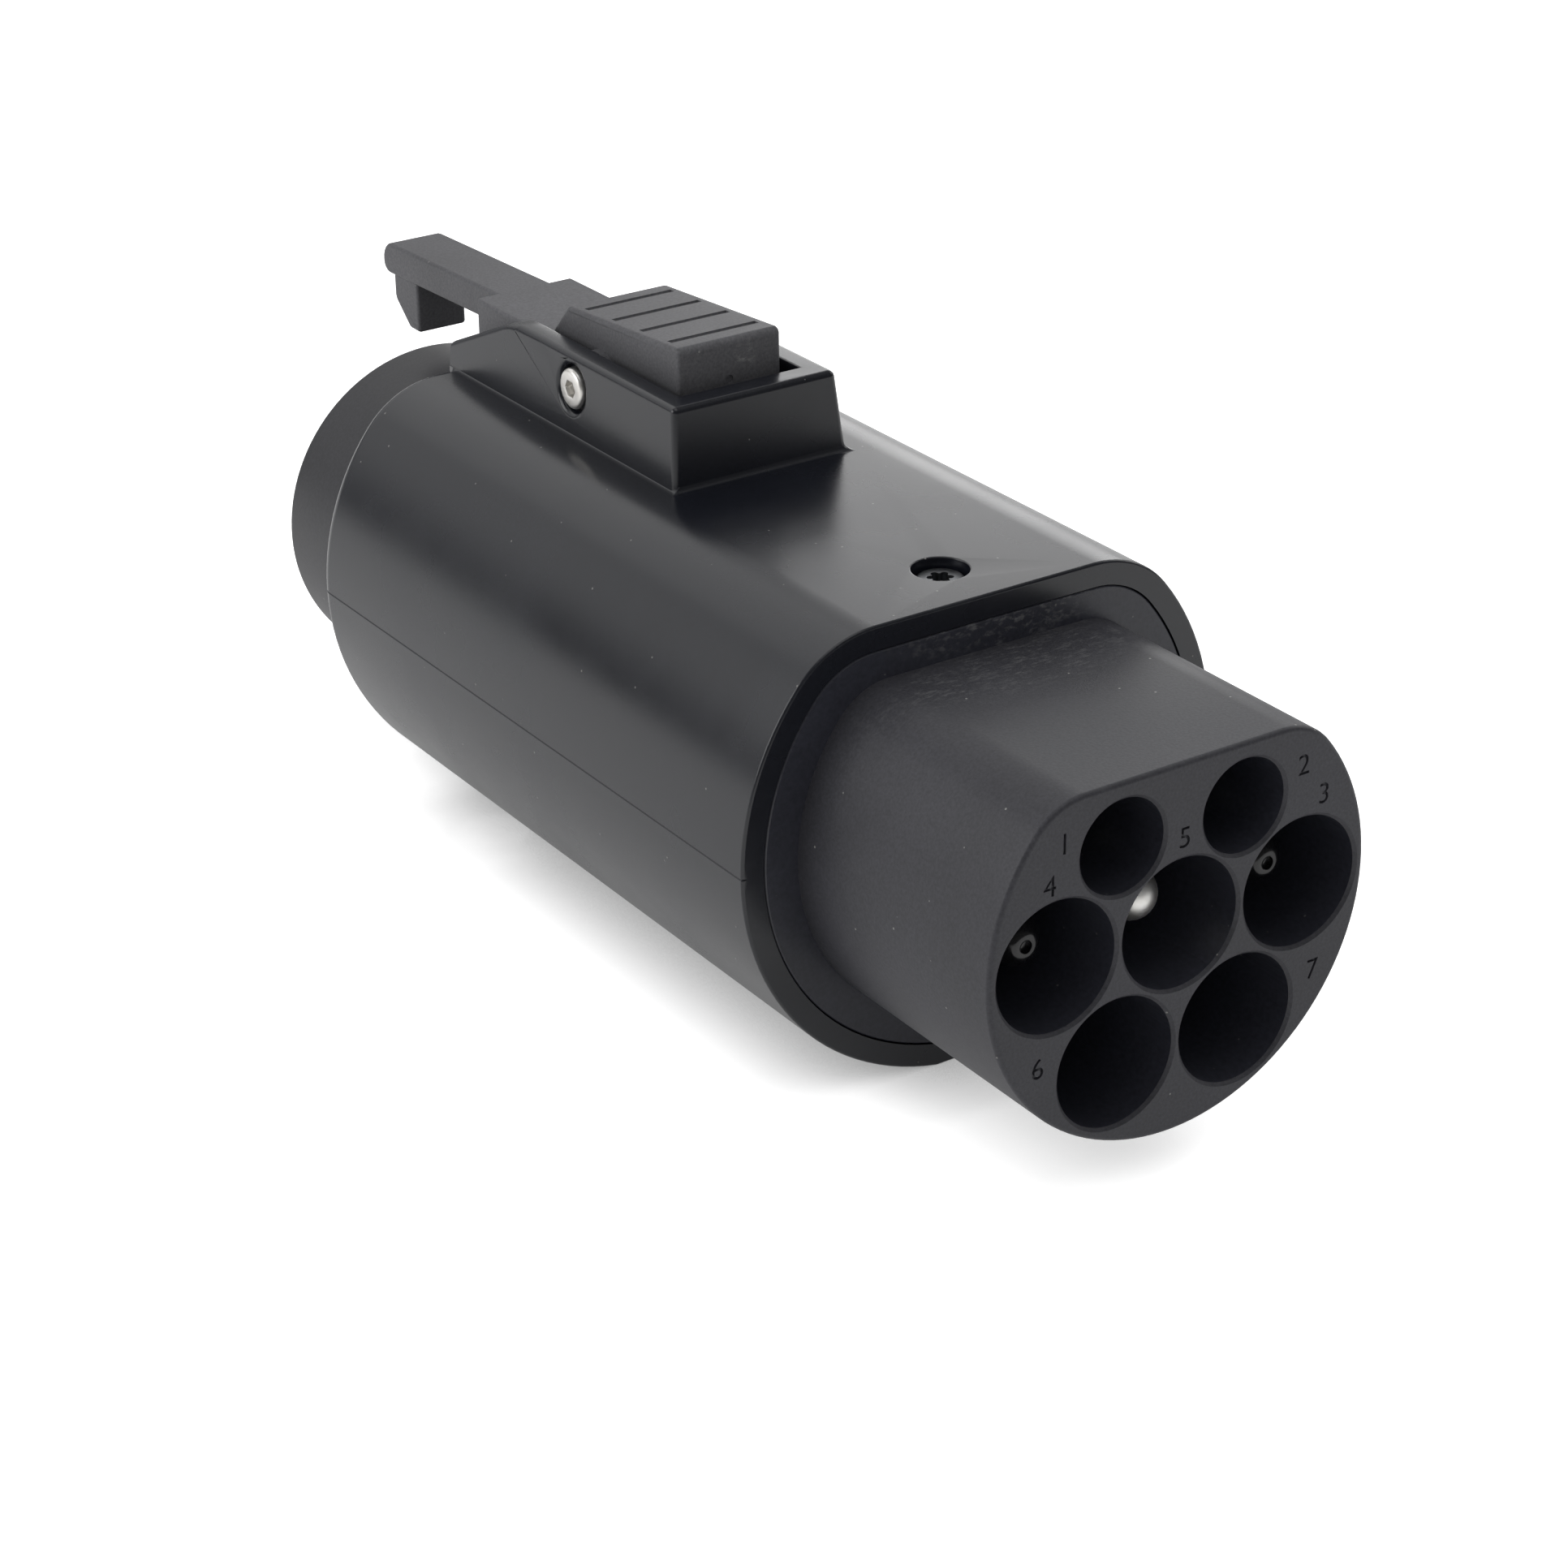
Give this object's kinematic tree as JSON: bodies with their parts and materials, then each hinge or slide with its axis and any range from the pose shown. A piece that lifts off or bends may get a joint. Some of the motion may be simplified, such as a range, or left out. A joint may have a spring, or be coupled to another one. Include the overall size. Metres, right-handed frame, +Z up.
{
  "type": "electric vehicle charging adapter",
  "caption": "Hand-held adapter for charging an electric vehicle: a multi-pole inlet block with deep contact wells at one end, a round vehicle plug with a sprung latch at the other.",
  "frame": {"origin": "centre of the earth contact in the plane of the inlet's face", "axes": "+X out of the inlet along the adapter, the plug points to -X; +Z up, towards the latch; +Y to the right seen from the inlet's front"},
  "size_m": [0.1616, 0.0636, 0.0704],
  "materials": {
    "case_plastic": "satin black polyamide with fine moulded grain",
    "latch_plastic": "matt dark grey glass-filled polyamide",
    "inlet_plastic": "matt dark grey polyamide with fine texture",
    "plug_plastic": "semi-gloss black polyamide",
    "cap_plastic": "black moulded plastic",
    "contact_silver": "silver-plated and polished",
    "contact_brass": "turned brass",
    "screw_steel": "plain steel",
    "spring_steel": "drawn spring wire",
    "retainer_plastic": "natural moulded plastic",
    "seal_rubber": "soft black rubber",
    "board_laminate": "green laminate",
    "resistor_body": "coated",
    "wire_brown": "soft insulation",
    "wire_blue": "soft insulation",
    "wire_green": "soft insulation",
    "wire_white": "soft insulation",
    "wire_red": "soft insulation"
  },
  "bodies": {
    "adapter": {"upper_shell": "case_plastic", "lower_shell": "case_plastic", "inlet_block": "inlet_plastic", "contact_retainer": "retainer_plastic", "retainer_screws": "screw_steel", "earth_pin": "contact_silver", "line_pin": "contact_silver", "neutral_pin": "contact_silver", "line_pin_cap": "cap_plastic", "neutral_pin_cap": "cap_plastic", "pilot_pin": "contact_silver", "proximity_pin": "contact_silver", "plug_barrel": "plug_plastic", "plug_core": "plug_plastic", "socket_retainer": "retainer_plastic", "socket_retainer_screws": "screw_steel", "line_socket": "contact_brass", "neutral_socket": "contact_brass", "earth_socket": "contact_brass", "pilot_socket": "contact_brass", "proximity_socket": "contact_brass", "line_wire": "wire_brown", "neutral_wire": "wire_blue", "earth_wire": "wire_green", "pilot_wire": "wire_white", "proximity_wire": "wire_red", "proximity_link_wire": "wire_red", "board_earth_wire": "wire_green", "circuit_board": "board_laminate", "board_resistors": "resistor_body", "board_screws": "screw_steel", "front_seal": "seal_rubber", "rear_seal": "seal_rubber", "case_screws": "screw_steel", "pivot_screw": "screw_steel", "latch_spring": "spring_steel"},
    "latch": {"latch_lever": "latch_plastic"}
  },
  "joints": [
    {"name": "latch_pivot", "type": "hinge", "parent": "adapter", "child": "latch", "pos_m": [-0.1007, 0, 0.03045], "axis": [0, 1, 0], "range_deg": [0, 9], "stiffness_Nm_per_rad": 0.2, "springref_deg": -20.05, "deforming": ["latch_spring"]}
  ]
}
